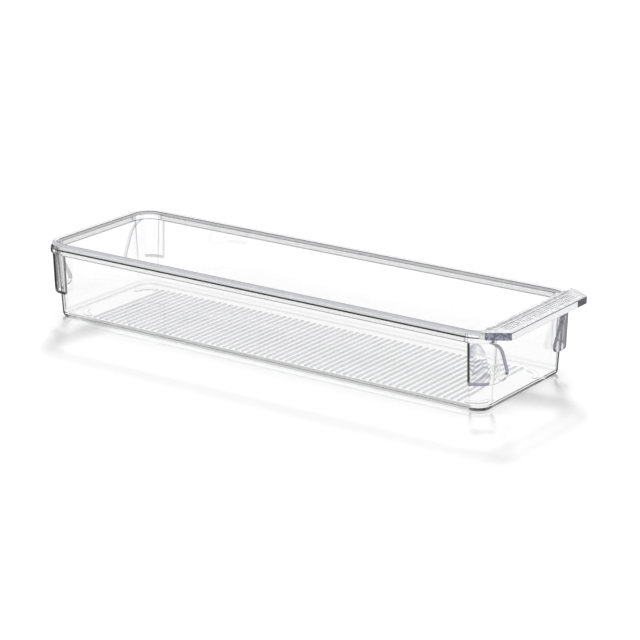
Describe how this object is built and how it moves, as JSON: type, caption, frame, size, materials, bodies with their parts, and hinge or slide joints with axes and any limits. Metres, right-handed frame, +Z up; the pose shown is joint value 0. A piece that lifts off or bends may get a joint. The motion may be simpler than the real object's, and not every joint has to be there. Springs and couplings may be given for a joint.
{
  "type": "fridge organizer tray",
  "caption": "Clear open-top organizer tray for a fridge drawer or shelf, with a stepped rim, a pull lip, corner stacking legs and a ribbed base.",
  "frame": {"origin": "centre of the overall box in plan, on the surface that the foot pads stand on", "axes": "+X along the length towards the pull handle, +Y across to the tray's left side, +Z up"},
  "size_m": [0.3394, 0.104, 0.0519],
  "materials": {
    "clear_body": "clear, polished",
    "clear_rim": "clear, polished, thicker so greyer",
    "clear_handle": "clear, polished, faint violet grey at the thick edges",
    "clear_leg": "clear, polished",
    "clear_base": "clear, polished ribs and pads"
  },
  "bodies": {
    "root": {"floor_panel": "clear_body", "wall_left": "clear_body", "wall_right": "clear_body", "wall_front": "clear_body", "wall_back": "clear_body", "corner_front_left": "clear_body", "corner_front_right": "clear_body", "corner_back_left": "clear_body", "corner_back_right": "clear_body", "rim_flange": "clear_rim", "rim_band": "clear_rim", "pull_handle": "clear_handle", "handle_bead": "clear_handle", "grip_ridges": "clear_handle", "stacking_leg_front_left": "clear_leg", "stacking_leg_front_right": "clear_leg", "stacking_leg_back_left": "clear_leg", "stacking_leg_back_right": "clear_leg", "floor_ribs": "clear_base", "foot_pad_front_left": "clear_base", "foot_pad_front_right": "clear_base", "foot_pad_back_left": "clear_base", "foot_pad_back_right": "clear_base"}
  },
  "joints": []
}
